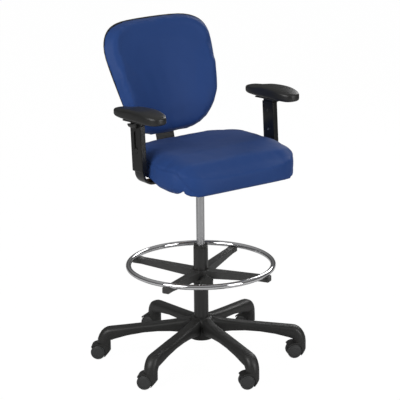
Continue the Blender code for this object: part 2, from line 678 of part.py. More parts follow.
def control_housing():
    half, wall = HOUSING_HALF, HOUSING_WALL
    housing = box("control_housing", (-half, -HOUSING_FRONT, HOUSING_LOW),
                  (half, HOUSING_REAR, HOUSING_TOP), 0.004, 2)
    inside = box("inside", (-half + wall, -HOUSING_FRONT + wall, HOUSING_LOW + wall),
                 (half - wall, HOUSING_REAR - wall, HOUSING_TOP + 0.02))
    boss = rod("boss", (0, 0, HOUSING_LOW + 0.001), (0, 0, HOUSING_TOP - 0.006), TUBE_RADIUS + 0.008, 20)
    bore = rod("bore", (0, 0, HOUSING_LOW - 0.01), (0, 0, HOUSING_TOP + 0.01), TUBE_RADIUS + GAP, 28)
    axle = rod("axle", (-0.1, -AXLE_FORWARD, AXLE_Z), (0.1, -AXLE_FORWARD, AXLE_Z), TILT_AXLE_RADIUS + GAP, 16)
    knob_hole = rod("knob_hole", (half - 0.02, -HOUSING_FRONT + 0.015, KNOB_SHAFT_Z),
                    (half + 0.02, -HOUSING_FRONT + 0.015, KNOB_SHAFT_Z), STUD_RADIUS + RUN, 12)
    lock_hole = rod("lock_hole", (half - 0.02, 0.030, KNOB_SHAFT_Z),
                    (half + 0.02, 0.030, KNOB_SHAFT_Z), STUD_RADIUS + RUN, 12)
    cut(housing, inside)
    join(housing, boss)
    for way in (-1, 1):
        stub = rod("stub", (way * (half - wall / 2), BAR_PIVOT_BACK, PIVOT_Z),
                   (way * (BAR_WIDTH / 2 + 0.003), BAR_PIVOT_BACK, PIVOT_Z), PIVOT_RADIUS, 12)
        join(housing, stub)
        ear = box("ear", (LEVER_PIVOT - 0.005, way * 0.0075 - 0.0015, HOUSING_LOW + 0.001),
                  (LEVER_PIVOT + 0.005, way * 0.0075 + 0.0015, LEVER_Z + 0.0045))
        join(housing, ear)
    pivot = rod("pivot", (LEVER_PIVOT, -0.02, LEVER_Z), (LEVER_PIVOT, 0.02, LEVER_Z), 0.0025 + RUN, 10)
    mouth = box("mouth", (-BAR_WIDTH / 2 - 0.002, HOUSING_REAR - 0.02, PIVOT_Z - 0.018),
                (BAR_WIDTH / 2 + 0.002, HOUSING_REAR + 0.02, HOUSING_TOP + 0.02))
    cut(housing, bore, axle, knob_hole, lock_hole, pivot, mouth)
    finish(housing, (0.015, 0.015, 0.015), 0.5, 0.2)
    ends = HOUSING_HALF + EAR_THICK + 0.006
    finish(rod("tilt_axle", (-ends, -AXLE_FORWARD, AXLE_Z), (ends, -AXLE_FORWARD, AXLE_Z), TILT_AXLE_RADIUS, 16),
           (0.5, 0.5, 0.52), 0.3, 1.0)


def seat_plate():
    plate = box("seat_plate", (-PLATE_HALF, -0.130, PLATE_LOW), (PLATE_HALF, 0.110, PLATE_TOP))
    near = HOUSING_HALF + RUN
    for way in (-1, 1):
        low = min(way * near, way * (near + EAR_THICK))
        ear = box("ear", (low, -AXLE_FORWARD - 0.018, AXLE_Z - 0.011),
                  (low + EAR_THICK, -AXLE_FORWARD + 0.018, PLATE_LOW + 0.001))
        join(plate, ear)
    axle = rod("axle", (-0.1, -AXLE_FORWARD, AXLE_Z), (0.1, -AXLE_FORWARD, AXLE_Z), TILT_AXLE_RADIUS + GAP, 16)
    finish(cut(plate, axle), (0.015, 0.015, 0.015), 0.45, 0.2)


def height_lever():
    """Steel lever over the valve pin, dropping forward to a flat paddle on the sitter's right."""
    pad = outline("height_lever", [(0.009, -0.006), (0.009, 0.006), (-0.078, 0.006), (-0.100, -0.052),
                                   (-0.108, -0.064), (-0.150, -0.070), (-0.163, -0.074), (-0.163, -0.088),
                                   (-0.150, -0.093), (-0.100, -0.088), (-0.084, -0.060), (-0.071, -0.006)],
                  LEVER_Z - 0.0022, LEVER_Z + 0.0022)
    bm = bmesh.new()
    bm.from_mesh(pad.data)
    bmesh.ops.triangulate(bm, faces=bm.faces)
    for x in (-0.065, -0.085, -0.105, -0.130):
        bmesh.ops.bisect_plane(bm, geom=bm.verts[:] + bm.edges[:] + bm.faces[:],
                               plane_co=(x, 0, 0), plane_no=(1, 0, 0))
    for vert in bm.verts:
        out = -0.065 - vert.co.x
        if out > 0:
            vert.co.z -= 0.20 * min(out, 0.098)
    bm.to_mesh(pad.data)
    bm.free()
    pin = rod("pin", (LEVER_PIVOT, -0.0085, LEVER_Z), (LEVER_PIVOT, 0.0085, LEVER_Z), 0.0025, 10)
    join(pad, pin)
    finish(pad, (0.013, 0.013, 0.013), 0.4)


def side_controls():
    """Tension knob and tilt lock lever on the sitter's left."""
    inner, outer = HOUSING_HALF - 0.006, HOUSING_HALF + 0.018
    front = -HOUSING_FRONT + 0.015
    shaft = rod("tension_knob", (inner, front, KNOB_SHAFT_Z), (outer + 0.002, front, KNOB_SHAFT_Z), STUD_RADIUS, 12)
    points = [((0.0165 + 0.001 * math.cos(8 * a)) * math.cos(a), (0.0165 + 0.001 * math.cos(8 * a)) * math.sin(a))
              for a in (2 * math.pi * i / 32 for i in range(32))]
    knob = place(outline("grip", points, outer, outer + 0.028), Matrix.Rotation(math.radians(90), 4, "Y"))
    place(knob, Matrix.Translation((0, front, KNOB_SHAFT_Z)))
    finish(join(shaft, knob), (0.012, 0.012, 0.012), 0.45)
    lever = rod("tilt_lever", (inner, 0.030, KNOB_SHAFT_Z), (0.120, 0.030, KNOB_SHAFT_Z), STUD_RADIUS, 12)
    paddle = box("paddle", (0.112, 0.018, KNOB_SHAFT_Z - 0.003), (0.168, 0.042, KNOB_SHAFT_Z + 0.003), 0.002, 1)
    finish(join(lever, paddle), (0.012, 0.012, 0.012), 0.45)


def bar_path():
    """Middle line of the back bar, as (y, z) points."""
    lean = 90 - BAR_LEAN
    bend = 0.030
    centre = (BAR_BACK - bend, PIVOT_Z + bend)
    path = [(BAR_PIVOT_BACK, PIVOT_Z)] + arc(centre, bend, -90, -BAR_LEAN, 6)
    end = path[-1]
    turn = math.radians(lean)
    path.append((end[0] + BAR_RISE * math.cos(turn), end[1] + BAR_RISE * math.sin(turn)))
    return path


def back_bar():
    half = BAR_WIDTH / 2
    bar = place(outline("back_bar", strip(bar_path(), BAR_THICK), -half, half), SIDE_ON)
    barrel = rod("barrel", (-half, BAR_PIVOT_BACK, PIVOT_Z), (half, BAR_PIVOT_BACK, PIVOT_Z), 0.0095, 20)
    bore = rod("bore", (-half - 0.01, BAR_PIVOT_BACK, PIVOT_Z),
               (half + 0.01, BAR_PIVOT_BACK, PIVOT_Z), PIVOT_RADIUS + RUN, 16)
    finish(cut(join(bar, barrel), bore), (0.014, 0.014, 0.014), 0.4)


# Back, drawn upright in its own frame: X across, Z along the bar, -Y towards the sitter

def back_frame():
    """Frame on the middle of the bar, with Z up along it, at the height of the back's middle."""
    start = Vector((0, *bar_path()[-2]))
    lean = math.radians(-BAR_LEAN)
    turn = Matrix.Rotation(lean, 4, "X")
    rise = (BACK_LOW + BACK_HEIGHT / 2 - start.z) / math.cos(lean)
    return Matrix.Translation(start) @ turn @ Matrix.Translation((0, 0, rise))


def back_outline(turn, share):
    """A point of the back's outline, scaled towards its middle; the bottom is narrower."""
    square = 3.8
    x = math.copysign(abs(math.cos(turn)) ** (2 / square), math.cos(turn))
    z = math.copysign(abs(math.sin(turn)) ** (2 / square), math.sin(turn))
    taper = 1.0 + 0.145 * z - 0.04 * z * z
    return x * share * BACK_HALF * taper, z * share * BACK_HEIGHT / 2


def back_forward(x, z):
    """How far the sheet stands in front of its middle line."""
    low = min(1.0, max(0.0, 0.5 - z / (BACK_HEIGHT / 2)))
    return (BACK_CURVE + BACK_WRAP * low * low * (3 - 2 * low)) * x * x


def back_slant(x, z):
    """How much longer a step straight forward is than the same step square to the sheet."""
    step = 0.001
    across = (back_forward(x + step, z) - back_forward(x - step, z)) / (2 * step)
    along = (back_forward(x, z + step) - back_forward(x, z - step)) / (2 * step)
    return math.sqrt(1 + across * across + along * along)


def back_sheet(name, share_out, forward, clear):
    """A concave sheet, forward of the bar's middle and then clear of what is behind it."""
    segments = 32
    bm = bmesh.new()
    rings = []
    for share in (1.0, 0.86, 0.6, 0.3):
        ring = []
        for k in range(segments):
            x, z = back_outline(2 * math.pi * k / segments, share * share_out)
            y = -forward - back_forward(x, z) - clear * back_slant(x, z)
            ring.append(bm.verts.new((x, y, z)))
        rings.append(ring)
    for outer, inner in zip(rings, rings[1:]):
        for k in range(segments):
            bm.faces.new((outer[k], outer[(k + 1) % segments], inner[(k + 1) % segments], inner[k]))
    middle = bm.verts.new((0, -forward - clear, 0))
    for k in range(segments):
        bm.faces.new((rings[-1][k], rings[-1][(k + 1) % segments], middle))
    return mesh_object(name, bm)


def thicken(made, thick):
    """Give a sheet its thickness towards the sitter."""
    up = sum((poly.normal.y for poly in made.data.polygons), 0.0)
    if up > 0:
        made.data.flip_normals()
    wall = made.modifiers.new("wall", "SOLIDIFY")
    wall.thickness = thick
    wall.offset = 1.0
    wall.use_even_offset = False
    return settle(made)


def back():
    frame = back_frame()
    rear = BAR_THICK / 2 + RUN + CARRIER_WALL + GAP
    shell = thicken(back_sheet("back_shell", 1.0, rear, 0.0), SHELL_THICK)
    cushion = thicken(back_sheet("back_cushion", 0.975, rear, SHELL_THICK + 3 * GAP), PAD_THICK)
    for vert in cushion.data.vertices:
        front = -vert.co.y - (rear + SHELL_THICK + 2 * GAP) - back_forward(vert.co.x, vert.co.z)
        if front > PAD_THICK * 0.5:
            reach = math.hypot(vert.co.x / BACK_HALF, vert.co.z / (BACK_HEIGHT / 2))
            vert.co.x *= 1 - 0.06 * min(reach, 1.0) ** 3
            vert.co.z *= 1 - 0.06 * min(reach, 1.0) ** 3
            vert.co.y += 0.012 * min(reach, 1.0) ** 4
    place(shell, frame)
    place(cushion, frame)
    finish(shell, (0.014, 0.014, 0.014), 0.45)
    finish(cushion, (0.024, 0.058, 0.18), 0.6)
    half, deep = BAR_WIDTH / 2 + RUN, BAR_THICK / 2 + RUN
    low = -BACK_HEIGHT / 2 + 0.070
    carrier = box("back_carrier", (-half - CARRIER_WALL, -deep - CARRIER_WALL, low),
                  (half + CARRIER_WALL, deep + CARRIER_WALL, low + CARRIER_LENGTH), 0.002, 1)
    cut(carrier, box("slot", (-half, -deep, low - 0.01), (half, deep, low + CARRIER_LENGTH + 0.01)))
    place(carrier, frame)
    cut(carrier, gap_copy(shell))
    finish(carrier, (0.014, 0.014, 0.014), 0.45)


def gap_copy(made):
    """A copy that is larger all round by the gap, to cut a neighbour with."""
    copy = bpy.data.objects.new(made.name + "_copy", made.data.copy())
    CUTTERS.objects.link(copy)
    grow = copy.modifiers.new("grow", "DISPLACE")
    grow.strength = GAP
    grow.mid_level = 0.0
    return settle(copy)


# Seat

def seat_plan(half, front, rear, count=36):
    """Plan of the seat: a squarish oval, narrower towards the back."""
    middle, deep = (rear - front) / 2, (rear + front) / 2
    plan = []
    for i in range(count):
        a = 2 * math.pi * (i + 0.5) / count
        square = SEAT_REAR_SQUARE if math.sin(a) > 0 else SEAT_SQUARE
        across = math.copysign(abs(math.cos(a)) ** (2 / square), math.cos(a))
        along = math.copysign(abs(math.sin(a)) ** (2 / square), math.sin(a))
        plan.append((half * across * (1 - SEAT_TAPER * (along + 0.3) ** 2 * (along > -0.3)),
                     middle + deep * along))
    return plan


def seat():
    board = outline("seat_board", seat_plan(BOARD_HALF, BOARD_FRONT, BOARD_REAR), BOARD_LOW, BOARD_TOP)
    finish(board, (0.35, 0.24, 0.13), 0.7)
    low, top = BOARD_TOP + GAP, BOARD_TOP + SEAT_THICK
    roll_low = BOARD_LOW - SEAT_ROLL + BOARD_THICK
    front_face = -BOARD_FRONT - GAP - 0.002
    side = [(front_face, low), (SEAT_REAR - 0.012, low), (SEAT_REAR, low + 0.012),
            (SEAT_REAR, top - 0.026), (SEAT_REAR - 0.020, top - 0.008), (0.040, top),
            (-0.120, top), (-SEAT_FRONT + 0.055, top - 0.012), (-SEAT_FRONT + 0.018, top - 0.034),
            (-SEAT_FRONT, low + 0.016), (-SEAT_FRONT + 0.004, roll_low + 0.010),
            (-SEAT_FRONT + 0.015, roll_low), (front_face - 0.012, roll_low + 0.003),
            (front_face, roll_low + 0.016)]
    cushion = place(outline("seat_cushion", side, -SEAT_HALF, SEAT_HALF), SIDE_ON)
    plan = seat_plan(SEAT_HALF, SEAT_FRONT, SEAT_REAR)
    common(cushion, outline("plan", plan, roll_low - 0.02, top + 0.02))
    finish(cushion, (0.024, 0.058, 0.18), 0.6)


# Arms, drawn for the sitter's left; the right arm is the same mirrored

def arm_strap():
    """Flat steel bar, bent from under the seat board up into the sleeve."""
    middle = STRAP_LOW + STRAP_THICK / 2
    bend = STRAP_BEND
    path = [(STRAP_INNER, middle)]
    path += arc((ARM_ACROSS - bend, middle + bend), bend, -90, 0, 7)
    path.append((ARM_ACROSS, STRAP_LOW + STRAP_RISE))
    half = STRAP_WIDTH / 2
    strap = place(outline("arm_strap", strip(path, STRAP_THICK), -half, half), FRONT_ON)
    place(strap, Matrix.Translation((0, -ARM_FORWARD, 0)))
    start = STRAP_LOW + 0.020
    for vert in strap.data.vertices:
        vert.co.y += max(0.0, vert.co.z - start) * math.tan(math.radians(ARM_RAKE))
    return strap


def arm_frame():
    """Frame of what leans back: at the strap's height, with +X outwards."""
    base = Matrix.Translation((ARM_ACROSS, -ARM_FORWARD, STRAP_LOW + 0.020))
    return base @ Matrix.Rotation(math.radians(-ARM_RAKE), 4, "X") @ Matrix.Translation((0, 0, -0.020))


def arm_sleeve():
    x, y = SLEEVE_THICK / 2, SLEEVE_DEPTH / 2
    low, top = SLEEVE_LOW, SLEEVE_LOW + SLEEVE_LENGTH
    sleeve = box("sleeve", (-x, -y, low), (x, y, top), 0.002, 1)
    inside = box("inside", (-x + SLEEVE_WALL, -y + SLEEVE_WALL, low - 0.01), (x - SLEEVE_WALL, y - SLEEVE_WALL, top + 0.01))
    slot_top, slot_low = top - SLOT_TOP, top - SLOT_TOP - SLOT_LENGTH
    half = SLOT_WIDTH / 2
    slot = arc((0, slot_top - half), half, 0, 180, 8) + arc((0, slot_low + half), half, 180, 360, 8)
    slot = place(outline("slot", slot, 0.0, 0.03), SIDE_ON)
    return cut(sleeve, inside, slot)


def arm_post():
    x = SLEEVE_THICK / 2 - SLEEVE_WALL - GAP
    y = SLEEVE_DEPTH / 2 - SLEEVE_WALL - GAP
    low = SLEEVE_LOW + 0.020
    top = SLEEVE_LOW + SLEEVE_LENGTH + POST_RISE
    post = box("post", (-x, -y, low), (x, y, top))
    button_z = SLEEVE_LOW + SLEEVE_LENGTH - SLOT_TOP - SLOT_LENGTH + SLOT_WIDTH / 2
    button = rod("button", (0, 0, button_z), (SLEEVE_THICK / 2 + 0.0005, 0, button_z), SLOT_WIDTH / 2 - RUN, 14)
    return join(post, button)


def arm_release():
    """Half-round paddle beside the post, pulled up under the pad."""
    near, out = SLEEVE_THICK / 2 - SLEEVE_WALL, SLEEVE_THICK / 2 + RUN
    top = SLEEVE_LOW + SLEEVE_LENGTH + POST_RISE - RELEASE_TRAVEL - RUN
    low = top - (POST_RISE - RELEASE_TRAVEL - RUN) * 0.8
    side = [(near, top)] + [(out + 0.021 * math.cos(a), top - 0.0165 * math.sin(a))
                            for a in (math.radians(t) for t in (0, 20, 40, 60, 78))]
    side += [(out, top - 0.0165), (out, low), (near, low)]
    return place(outline("release", side[::-1], -0.013, 0.013), FRONT_ON)


def arm_pad_plate():
    low = SLEEVE_LOW + SLEEVE_LENGTH + POST_RISE + GAP
    return box("pad_plate", (-0.028, -0.082, low), (0.028, 0.046, low + PAD_PLATE_THICK), 0.0015, 1)


def arm_pad():
    """Plain crowned pad; its front end is broad and droops a little."""
    low = SLEEVE_LOW + SLEEVE_LENGTH + POST_RISE + 2 * GAP + PAD_PLATE_THICK
    plan = []
    for i in range(28):
        a = 2 * math.pi * i / 28
        along = math.copysign(abs(math.sin(a)) ** 0.8, math.sin(a))
        across = math.copysign(abs(math.cos(a)) ** 0.8, math.cos(a))
        width = PAD_HALF * (0.86 - 0.14 * along)
        plan.append((across * width, along * PAD_LENGTH / 2 - 0.012))
    pad = outline("pad", plan, low, low + PAD_HEIGHT)
    bevel = pad.modifiers.new("round", "BEVEL")
    bevel.width = 0.011
    bevel.segments = 2
    bevel.limit_method = "ANGLE"
    bevel.angle_limit = math.radians(50)
    return settle(pad)


def arms():
    frame = arm_frame()
    plain = (0.014, 0.014, 0.014)
    for side, mirror in (("left", Matrix.Identity(4)), ("right", Matrix.Scale(-1, 4, (1, 0, 0)))):
        makers = {"bracket": arm_strap, "sleeve": arm_sleeve, "post": arm_post, "release": arm_release,
                  "pad_plate": arm_pad_plate, "pad": arm_pad}
        for word, make in makers.items():
            made = make()
            made.name = f"{side}_arm_{word}"
            at = Matrix.Identity(4) if word == "bracket" else frame
            place(made, mirror @ at)
            finish(made, plain, 0.45)
            if word in ("post", "release", "pad_plate", "pad"):
                set_origin(made.name, (mirror @ frame).translation)


def origins():
    """Origins of what tilts and reclines; what turns on the column keeps its origin on it."""
    tilt = (0, -AXLE_FORWARD, AXLE_Z)
    arms_fixed = [f"{side}_arm_{word}" for side in ("left", "right") for word in ("bracket", "sleeve")]
    for name in ["tilt_axle", "seat_plate", "seat_board", "seat_cushion"] + arms_fixed:
        set_origin(name, tilt)
    set_origin("back_bar", (0, BAR_PIVOT_BACK, PIVOT_Z))
    for name in ("back_carrier", "back_shell", "back_cushion"):
        set_origin(name, back_frame().translation)
    set_origin("foot_ring_knob", around_z(RING_TURN - 135) @ Vector((SPIDER_OUT, 0, KNOB_Z)))
    set_origin("height_lever", (LEVER_PIVOT, 0, LEVER_Z))
    set_origin("tension_knob", (HOUSING_HALF, -HOUSING_FRONT + 0.015, KNOB_SHAFT_Z))
    set_origin("tilt_lever", (HOUSING_HALF, 0.030, KNOB_SHAFT_Z))


control_housing()
seat_plate()
height_lever()
side_controls()
back_bar()
back()
seat()
arms()
origins()

# The middle of the footprint stands on the origin
spots = [made.matrix_world @ vert.co for made in CHAIR.objects for vert in made.data.vertices]
STAND = Vector(((min(p.x for p in spots) + max(p.x for p in spots)) / -2,
                (min(p.y for p in spots) + max(p.y for p in spots)) / -2, 0))
for made in CHAIR.objects:
    made.location += STAND
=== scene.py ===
import bpy
import bmesh
import json
from math import cos, exp, pi, radians, sin
from mathutils import Matrix, Vector, noise

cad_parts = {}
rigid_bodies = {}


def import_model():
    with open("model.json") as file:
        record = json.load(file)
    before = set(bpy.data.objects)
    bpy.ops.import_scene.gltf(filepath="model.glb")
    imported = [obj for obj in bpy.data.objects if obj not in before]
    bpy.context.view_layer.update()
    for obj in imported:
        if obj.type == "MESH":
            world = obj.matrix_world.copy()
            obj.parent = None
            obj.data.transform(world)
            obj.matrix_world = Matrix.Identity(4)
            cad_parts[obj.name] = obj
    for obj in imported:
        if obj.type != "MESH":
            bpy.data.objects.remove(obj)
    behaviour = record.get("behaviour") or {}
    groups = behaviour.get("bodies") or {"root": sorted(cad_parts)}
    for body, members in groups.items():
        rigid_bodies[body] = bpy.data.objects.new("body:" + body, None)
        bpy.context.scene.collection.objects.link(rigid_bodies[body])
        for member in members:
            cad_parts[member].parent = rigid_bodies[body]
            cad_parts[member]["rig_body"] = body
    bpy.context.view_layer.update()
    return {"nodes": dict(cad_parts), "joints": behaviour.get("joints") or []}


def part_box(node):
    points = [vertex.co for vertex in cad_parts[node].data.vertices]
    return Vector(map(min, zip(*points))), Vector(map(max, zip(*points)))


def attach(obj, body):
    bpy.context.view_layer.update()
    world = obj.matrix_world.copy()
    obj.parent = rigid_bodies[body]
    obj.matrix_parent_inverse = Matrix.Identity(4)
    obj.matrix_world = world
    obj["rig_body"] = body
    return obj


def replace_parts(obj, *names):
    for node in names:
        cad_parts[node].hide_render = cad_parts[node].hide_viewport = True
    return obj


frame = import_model()
nodes = frame["nodes"]
jointOf = {joint["name"]: joint for joint in frame["joints"]}
scene = bpy.context.scene
spot = jointOf["seat_swivel"]["pos_m"]
column = Vector((spot[0], spot[1], 0))  # everything turned stands on this axis
print("drafting chair: frame loaded,", len(nodes), "nodes")


# camera, lights and floor
studio = {
    "azimuth": -35.5, "elevation": 16.2, "distance": 6.765, "aimHeight": 0.5646,
    "aimRight": -0.0005, "roll": 0.6, "lens": 180.0,
    "keyPower": 60.0, "fillPower": 38.0, "topPower": 3.0, "rimPower": 28.0,
    "skyHigh": 0.36, "skyLow": 0.045, "skyStart": 0.05, "skyEnd": 0.75,
    "floorTone": 0.60, "floorGlow": 1.03, "floorShare": 0.96, "floorHalf": 40.0, "lampAim": 0.6,
}
# each lamp's place is how far right, ahead and up it stands from the point it lights
softboxes = [
    ("key", (-2.0, -2.2, 1.5), 1.8, 1.8),
    ("fill", (2.6, -2.0, 0.8), 1.2, 2.2),
    ("top", (0.0, 0.0, 2.6), 2.0, 2.0),
    ("rim", (1.6, 2.4, 1.6), 1.4, 1.4),
]


def aimAt(thing, target, spin=0.0):
    ahead = (Vector(target) - thing.location).normalized()
    turn = Matrix.Rotation(radians(spin), 3, ahead) @ ahead.to_track_quat("-Z", "Y").to_matrix()
    thing.rotation_euler = turn.to_euler()


def addCamera():
    az, tip, far = radians(studio["azimuth"]), radians(studio["elevation"]), studio["distance"]
    right, ahead = Vector((cos(az), sin(az), 0)), Vector((-sin(az), cos(az), 0))
    aim = column + right * studio["aimRight"] + Vector((0, 0, studio["aimHeight"]))
    camera = bpy.data.objects.new("studioCamera", bpy.data.cameras.new("studioCamera"))
    camera.data.lens = studio["lens"]
    camera.data.sensor_width = 36.0
    camera.data.clip_end = 200.0
    camera.location = aim - ahead * far * cos(tip) + Vector((0, 0, far * sin(tip)))
    aimAt(camera, aim, studio["roll"])
    scene.collection.objects.link(camera)
    scene.camera = camera
    return right, ahead


def addSoftbox(name, steps, width, height, power):
    target = column + Vector((0, 0, studio["lampAim"]))
    place = target + viewRight * steps[0] + viewAhead * steps[1] + Vector((0, 0, steps[2]))
    light = bpy.data.lights.new(name + "Softbox", "AREA")
    light.shape = "RECTANGLE"
    light.size, light.size_y, light.energy = width, height, power
    lamp = bpy.data.objects.new(name + "Softbox", light)
    lamp.location = place
    aimAt(lamp, target)
    scene.collection.objects.link(lamp)


def addSky():
    world = bpy.data.worlds.new("studioSky")
    scene.world = world
    world.use_nodes = True
    tree = world.node_tree
    tree.nodes.clear()
    out = tree.nodes.new("ShaderNodeOutputWorld")
    coords = tree.nodes.new("ShaderNodeTexCoord")
    split = tree.nodes.new("ShaderNodeSeparateXYZ")
    ramp = tree.nodes.new("ShaderNodeMapRange")
    ramp.inputs["From Min"].default_value = studio["skyStart"]
    ramp.inputs["From Max"].default_value = studio["skyEnd"]
    ramp.inputs["To Min"].default_value = studio["skyLow"]
    ramp.inputs["To Max"].default_value = studio["skyHigh"]
    lit = tree.nodes.new("ShaderNodeBackground")
    plain = tree.nodes.new("ShaderNodeBackground")
    plain.inputs["Color"].default_value = (1, 1, 1, 1)
    path = tree.nodes.new("ShaderNodeLightPath")
    mix = tree.nodes.new("ShaderNodeMixShader")
    tree.links.new(coords.outputs["Generated"], split.inputs[0])
    tree.links.new(split.outputs["Z"], ramp.inputs["Value"])
    tree.links.new(ramp.outputs["Result"], lit.inputs["Strength"])
    tree.links.new(path.outputs["Is Camera Ray"], mix.inputs[0])
    tree.links.new(lit.outputs[0], mix.inputs[1])
    tree.links.new(plain.outputs[0], mix.inputs[2])
    tree.links.new(mix.outputs[0], out.inputs["Surface"])


def addFloor():
    bm = bmesh.new()
    bmesh.ops.create_grid(bm, x_segments=1, y_segments=1, size=studio["floorHalf"])
    mesh = bpy.data.meshes.new("studioFloor")
    bm.to_mesh(mesh)
    bm.free()
    floor = bpy.data.objects.new("studioFloor", mesh)
    scene.collection.objects.link(floor)
    paint = bpy.data.materials.new("studioFloor")
    paint.use_nodes = True
    tree = paint.node_tree
    shader = tree.nodes["Principled BSDF"]
    tone = studio["floorTone"]
    shader.inputs["Base Color"].default_value = (tone, tone, tone, 1)
    shader.inputs["Roughness"].default_value = 0.9
    shader.inputs["Specular IOR Level"].default_value = 0.1
    glow = tree.nodes.new("ShaderNodeEmission")
    glow.inputs["Strength"].default_value = studio["floorGlow"]
    path = tree.nodes.new("ShaderNodeLightPath")
    share = tree.nodes.new("ShaderNodeMath")
    share.operation = "MULTIPLY"
    share.inputs[1].default_value = studio["floorShare"]
    mix = tree.nodes.new("ShaderNodeMixShader")
    tree.links.new(path.outputs["Is Camera Ray"], share.inputs[0])
    tree.links.new(share.outputs[0], mix.inputs[0])
    tree.links.new(shader.outputs[0], mix.inputs[1])
    tree.links.new(glow.outputs[0], mix.inputs[2])
    tree.links.new(mix.outputs[0], tree.nodes["Material Output"].inputs["Surface"])
    mesh.materials.append(paint)


scene.view_settings.view_transform = "Standard"
viewRight, viewAhead = addCamera()
for lampName, steps, width, height in softboxes:
    addSoftbox(lampName, steps, width, height, studio[lampName + "Power"])
addSky()
addFloor()
print("studio ready")


# finishes
finishes = {
    "blueCloth": {
        "colour": (0.020, 0.058, 0.210), "light": (0.028, 0.075, 0.256),
        "rough": 0.52, "grain": "weave", "scale": 1.0, "depth": 0.10, "wear": 0.0, "sheen": 0.04,
        "specular": 0.14,
    },
    "blackNylon": {
        "colour": (0.017, 0.017, 0.0163), "light": (0.026, 0.026, 0.025),
        "rough": 0.42, "grain": "mould", "scale": 900.0, "depth": 0.10, "wear": 0.25, "specular": 0.45,
    },
    "softBlack": {
        "colour": (0.014, 0.014, 0.0135), "light": (0.021, 0.021, 0.0205),
        "rough": 0.36, "grain": "mould", "scale": 700.0, "depth": 0.16, "wear": 0.10, "specular": 0.5,
    },
    "wheelNylon": {
        "colour": (0.036, 0.037, 0.037), "light": (0.049, 0.050, 0.050),
        "rough": 0.46, "grain": "mould", "scale": 600.0, "depth": 0.10, "wear": 0.5, "specular": 0.45,
    },
    "powderBlack": {
        "colour": (0.016, 0.016, 0.0155), "light": (0.024, 0.024, 0.0235),
        "rough": 0.30, "grain": "mould", "scale": 1400.0, "depth": 0.14, "wear": 0.35, "specular": 0.5,
        "coat": 0.2,
    },
    "glossBlack": {
        "colour": (0.008, 0.008, 0.008), "light": (0.011, 0.011, 0.011),
        "rough": 0.20, "grain": "mould", "scale": 1100.0, "depth": 0.04, "wear": 0.25, "specular": 0.5,
    },
    "spiderBlack": {
        "colour": (0.028, 0.028, 0.0275), "light": (0.044, 0.044, 0.043),
        "rough": 0.38, "grain": "mould", "scale": 900.0, "depth": 0.12, "wear": 0.3, "specular": 0.5,
    },
    "mirrorChrome": {
        "colour": (0.83, 0.83, 0.85), "light": (0.87, 0.87, 0.88),
        "rough": 0.045, "grain": "brushed", "scale": 60.0, "depth": 0.01, "wear": 0.0, "specular": 0.5,
        "metal": 1.0,
    },
    "tubeChrome": {
        "colour": (0.50, 0.50, 0.51), "light": (0.60, 0.60, 0.61),
        "rough": 0.20, "grain": "brushed", "scale": 220.0, "depth": 0.03, "wear": 0.0, "specular": 0.5,
        "metal": 1.0,
    },
    "groundSteel": {
        "colour": (0.42, 0.42, 0.43), "light": (0.55, 0.55, 0.56),
        "rough": 0.32, "grain": "brushed", "scale": 420.0, "depth": 0.06, "wear": 0.0, "specular": 0.5,
        "metal": 1.0,
    },
    "plywood": {
        "colour": (0.24, 0.145, 0.07), "light": (0.40, 0.26, 0.14),
        "rough": 0.62, "grain": "ply", "scale": 1.0, "depth": 0.12, "wear": 0.1, "specular": 0.3,
    },
}


def openGroup(name, inputs, outputs):
    tree = bpy.data.node_groups.new(name, "ShaderNodeTree")
    for label, value in inputs:
        tree.interface.new_socket(label, in_out="INPUT", socket_type="NodeSocketFloat").default_value = value
    for label in outputs:
        tree.interface.new_socket(label, in_out="OUTPUT", socket_type="NodeSocketFloat")
    return tree, tree.nodes.new("NodeGroupInput"), tree.nodes.new("NodeGroupOutput")


def mathNode(tree, kind, first, second=None, clamp=False):
    step = tree.nodes.new("ShaderNodeMath")
    step.operation, step.use_clamp = kind, clamp
    for place, value in enumerate((first, second)):
        if isinstance(value, (int, float)):
            step.inputs[place].default_value = value
        elif value is not None:
            tree.links.new(value, step.inputs[place])
    return step.outputs[0]


def noiseNode(tree, vector, scale, detail=3.0, rough=0.55):
    node = tree.nodes.new("ShaderNodeTexNoise")
    node.inputs["Detail"].default_value = detail
    node.inputs["Roughness"].default_value = rough
    tree.links.new(vector, node.inputs["Vector"])
    if isinstance(scale, (int, float)):
        node.inputs["Scale"].default_value = scale
    else:
        tree.links.new(scale, node.inputs["Scale"])
    return node.outputs["Fac"]


# moulded skin: fine pebble with slow, wide changes of tone
def buildMouldGroup():
    tree, feed, out = openGroup("mouldedGrain", [("Scale", 900.0)], ["Height", "Tone"])
    coords = tree.nodes.new("ShaderNodeTexCoord").outputs["Object"]
    pebble = tree.nodes.new("ShaderNodeTexVoronoi")
    tree.links.new(coords, pebble.inputs["Vector"])
    tree.links.new(feed.outputs["Scale"], pebble.inputs["Scale"])
    fine = noiseNode(tree, coords, feed.outputs["Scale"])
    tree.links.new(mathNode(tree, "ADD", pebble.outputs["Distance"], fine), out.inputs["Height"])
    tree.links.new(noiseNode(tree, coords, 14.0, 4.0), out.inputs["Tone"])
    return tree


